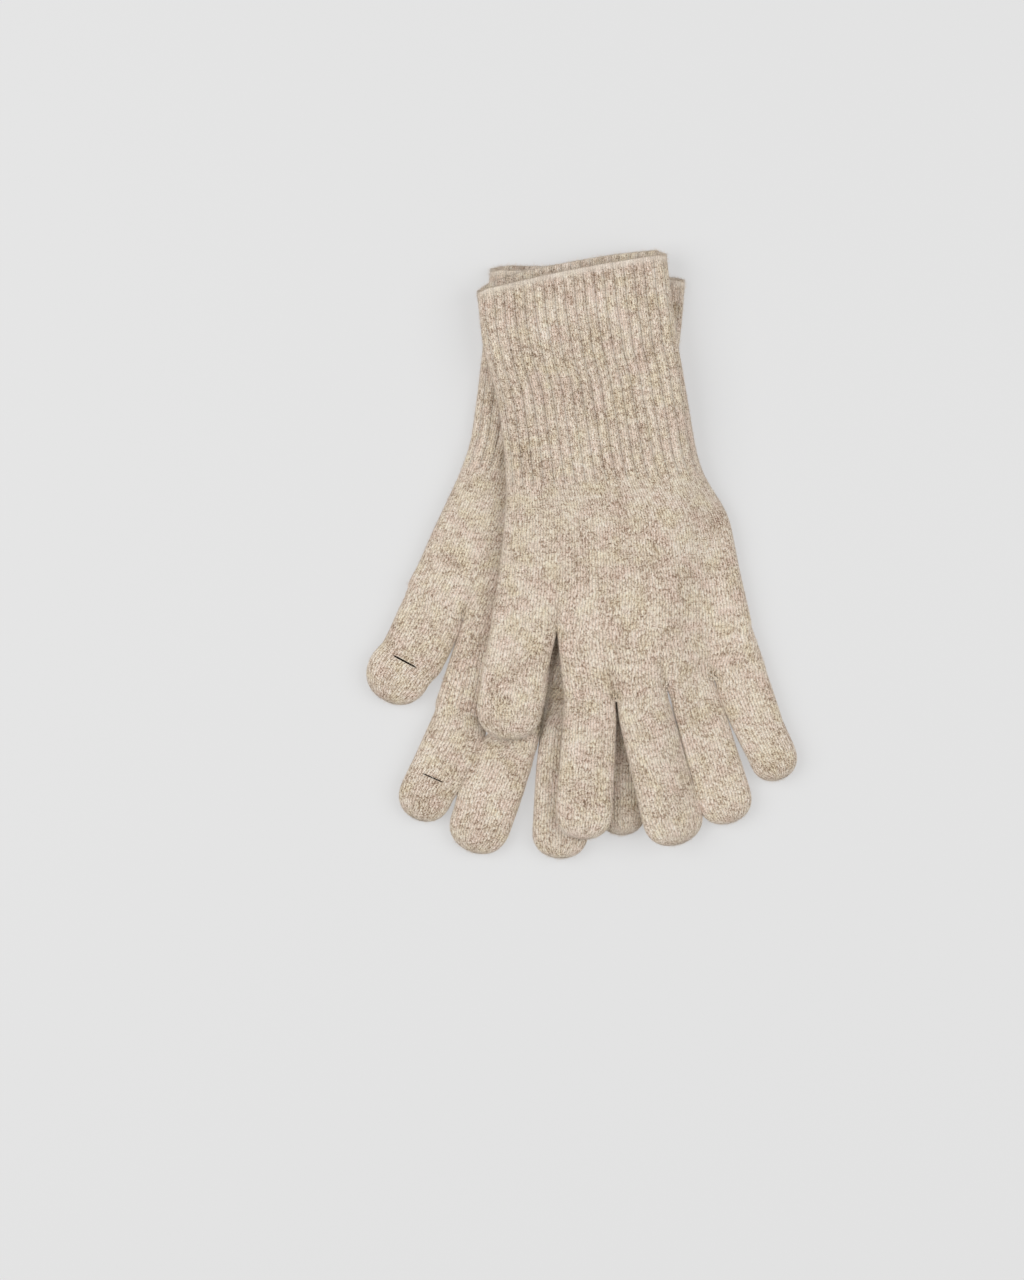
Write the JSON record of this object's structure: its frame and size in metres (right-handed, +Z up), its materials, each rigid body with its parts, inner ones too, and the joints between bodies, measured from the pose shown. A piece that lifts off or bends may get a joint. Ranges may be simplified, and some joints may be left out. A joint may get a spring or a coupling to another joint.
{
  "type": "pair of knitted gloves",
  "caption": "Pair of wool knit gloves lying flat, one on the other, with rib cuffs, closed finger stalls and slit thumb and index tips.",
  "frame": {"origin": "middle of the pair's footprint, on the surface that they lie on", "axes": "+Y towards the cuffs, fingers along -Y, +Z up away from the surface, both thumbs on the -X side"},
  "size_m": [0.179, 0.251, 0.0165],
  "materials": {
    "stocking_knit": "plain knitted melange wool, matte and slightly fuzzy",
    "rib_knit": "ribbed knitted melange wool, matte and slightly fuzzy",
    "tip_knit": "plain knitted melange wool of the fingertips past the slit, matte",
    "crotch_yarn": "matte wool yarn of the hand closures between the fingers"
  },
  "bodies": {
    "right_glove": {"right_cuff_welt": "rib_knit", "right_cuff": "rib_knit", "right_hand_body": "stocking_knit", "right_knuckle_body": "stocking_knit", "right_crotch_stitches": "crotch_yarn"},
    "right_thumb": {"right_thumb": "stocking_knit"},
    "right_thumb_tip": {"right_thumb_tip": "tip_knit"},
    "right_index": {"right_index": "stocking_knit"},
    "right_index_tip": {"right_index_tip": "tip_knit"},
    "right_middle": {"right_middle": "stocking_knit"},
    "right_ring": {"right_ring": "stocking_knit"},
    "right_little": {"right_little": "stocking_knit"},
    "left_glove": {"left_hand_body": "stocking_knit", "left_knuckle_body": "stocking_knit", "left_crotch_stitches": "crotch_yarn"},
    "left_cuff": {"left_cuff_welt": "rib_knit", "left_cuff": "rib_knit"},
    "left_thumb": {"left_thumb": "stocking_knit"},
    "left_thumb_tip": {"left_thumb_tip": "tip_knit"},
    "left_index": {"left_index": "stocking_knit"},
    "left_index_tip": {"left_index_tip": "tip_knit"},
    "left_middle": {"left_middle": "stocking_knit"},
    "left_ring": {"left_ring": "stocking_knit"},
    "left_little": {"left_little": "stocking_knit"}
  },
  "joints": [
    {"name": "left_glove_lift", "type": "slide", "parent": "right_glove", "child": "left_glove", "axis": [0, 0, 1], "range_m": [0, 0.12]},
    {"name": "left_cuff_fold", "type": "hinge", "parent": "left_glove", "child": "left_cuff", "pos_m": [0.00996, 0.0319, 0.0166], "axis": [0.9977, 0.0682, 0], "range_deg": [0, 80]},
    {"name": "left_thumb_fold", "type": "hinge", "parent": "left_glove", "child": "left_thumb", "pos_m": [-0.02355, -0.02925, 0.0166], "axis": [-0.9937, 0.1125, 0], "range_deg": [0, 80]},
    {"name": "left_thumb_tip_fold", "type": "hinge", "parent": "left_thumb", "child": "left_thumb_tip", "pos_m": [-0.02665, -0.05657, 0.0166], "axis": [-0.9937, 0.1125, 0], "range_deg": [0, 70]},
    {"name": "left_index_fold", "type": "hinge", "parent": "left_glove", "child": "left_index", "pos_m": [0.00396, -0.05905, 0.0166], "axis": [-0.9983, 0.0584, 0], "range_deg": [0, 80]},
    {"name": "left_index_tip_fold", "type": "hinge", "parent": "left_index", "child": "left_index_tip", "pos_m": [0.00162, -0.09898, 0.0166], "axis": [-0.9983, 0.0584, 0], "range_deg": [0, 70]},
    {"name": "left_middle_fold", "type": "hinge", "parent": "left_glove", "child": "left_middle", "pos_m": [0.02527, -0.05774, 0.0166], "axis": [-0.9728, -0.2316, 0], "range_deg": [0, 80]},
    {"name": "left_ring_fold", "type": "hinge", "parent": "left_glove", "child": "left_ring", "pos_m": [0.04578, -0.05299, 0.01517], "axis": [-0.9606, -0.2781, 0], "range_deg": [0, 80]},
    {"name": "left_little_fold", "type": "hinge", "parent": "left_glove", "child": "left_little", "pos_m": [0.06629, -0.04849, 0.0084], "axis": [-0.932, -0.3624, 0], "range_deg": [0, 80]},
    {"name": "right_thumb_fold", "type": "hinge", "parent": "right_glove", "child": "right_thumb", "pos_m": [-0.06062, -0.01923, 0.0081], "axis": [-0.8824, 0.4706, 0], "range_deg": [0, 80]},
    {"name": "right_thumb_tip_fold", "type": "hinge", "parent": "right_thumb", "child": "right_thumb_tip", "pos_m": [-0.07357, -0.04349, 0.0081], "axis": [-0.8824, 0.4706, 0], "range_deg": [0, 70]},
    {"name": "right_index_fold", "type": "hinge", "parent": "right_glove", "child": "right_index", "pos_m": [-0.05011, -0.06398, 0.0081], "axis": [-0.9167, 0.3996, 0], "range_deg": [0, 80]},
    {"name": "right_index_tip_fold", "type": "hinge", "parent": "right_index", "child": "right_index_tip", "pos_m": [-0.0623, -0.09194, 0.0081], "axis": [-0.9167, 0.3996, 0], "range_deg": [0, 70]},
    {"name": "right_middle_fold", "type": "hinge", "parent": "right_glove", "child": "right_middle", "pos_m": [-0.02885, -0.07724, 0.0081], "axis": [-0.9304, 0.3665, 0], "range_deg": [0, 80]},
    {"name": "right_ring_splay", "type": "hinge", "parent": "right_glove", "child": "right_ring", "pos_m": [-0.00478, -0.06515, 0.004], "axis": [0, 0, 1], "range_deg": [-2.5, 2.5]},
    {"name": "right_little_splay", "type": "hinge", "parent": "right_glove", "child": "right_little", "pos_m": [0.01672, -0.06695, 0.004], "axis": [0, 0, 1], "range_deg": [-2.5, 2.5]}
  ]
}
